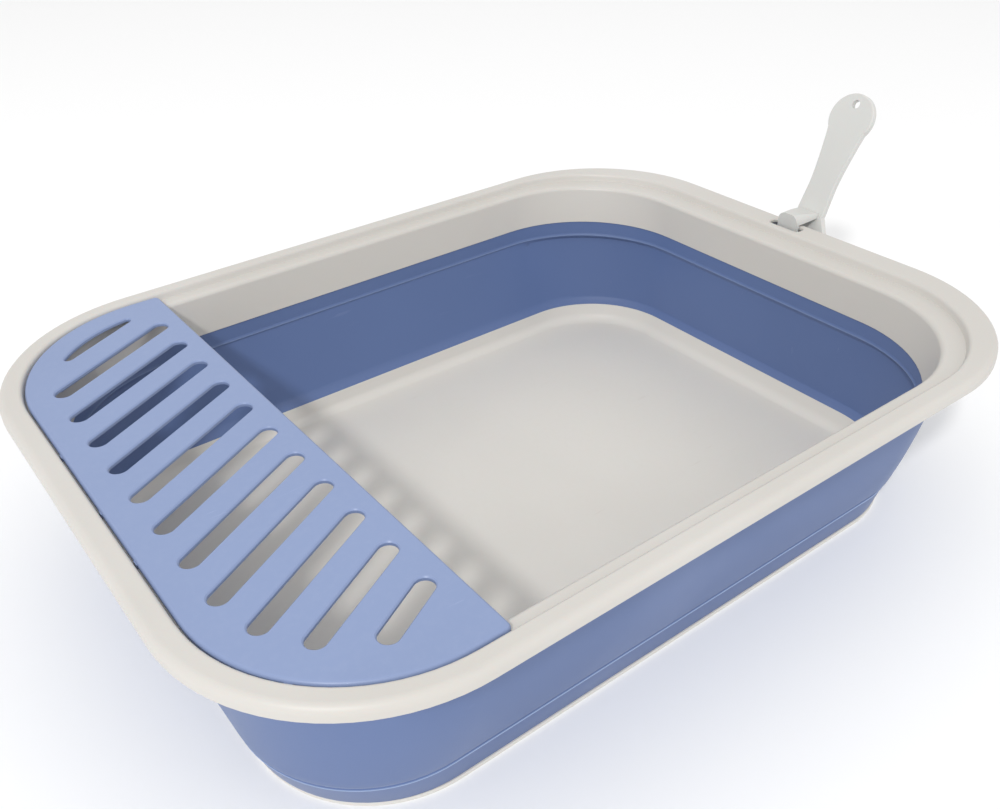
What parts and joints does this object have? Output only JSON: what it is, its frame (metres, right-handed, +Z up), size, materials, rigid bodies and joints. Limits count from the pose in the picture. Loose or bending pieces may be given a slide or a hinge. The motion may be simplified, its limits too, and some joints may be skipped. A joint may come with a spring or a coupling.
{
  "type": "collapsible pet litter tub with step plate and scoop",
  "caption": "Collapsible litter tub: hard rim and base pan joined by a soft folding wall, with a lift-out slotted step plate and a hook-on slotted scoop.",
  "frame": {"origin": "on the floor under the middle of the rim's outline", "axes": "+X along the tub towards the scoop's end, +Y across it, +Z up; the step plate is at the -X end"},
  "size_m": [0.5533, 0.382, 0.1902],
  "materials": {
    "rim_plastic": "warm off-white, fine satin moulding",
    "base_plastic": "warm off-white, fine satin moulding",
    "wall_rubber": "soft thermoplastic rubber, satin dusty blue",
    "plate_plastic": "light blue, satin moulding",
    "scoop_plastic": "cool off-white, satin moulding"
  },
  "bodies": {
    "base": {"base_pan": "base_plastic", "folding_wall": "wall_rubber"},
    "rim": {"rim_frame": "rim_plastic"},
    "step_plate": {"step_plate": "plate_plastic"},
    "scoop": {"scoop": "scoop_plastic"}
  },
  "joints": [
    {"name": "rim_collapse", "type": "slide", "parent": "base", "child": "rim", "axis": [0, 0, 1], "range_m": [-0.055, 0], "deforming": ["folding_wall"]},
    {"name": "step_plate_lift", "type": "slide", "parent": "rim", "child": "step_plate", "axis": [0, 0, 1], "range_m": [0, 0.06]},
    {"name": "scoop_lift", "type": "slide", "parent": "rim", "child": "scoop", "axis": [0, 0, 1], "range_m": [0, 0.12]}
  ]
}
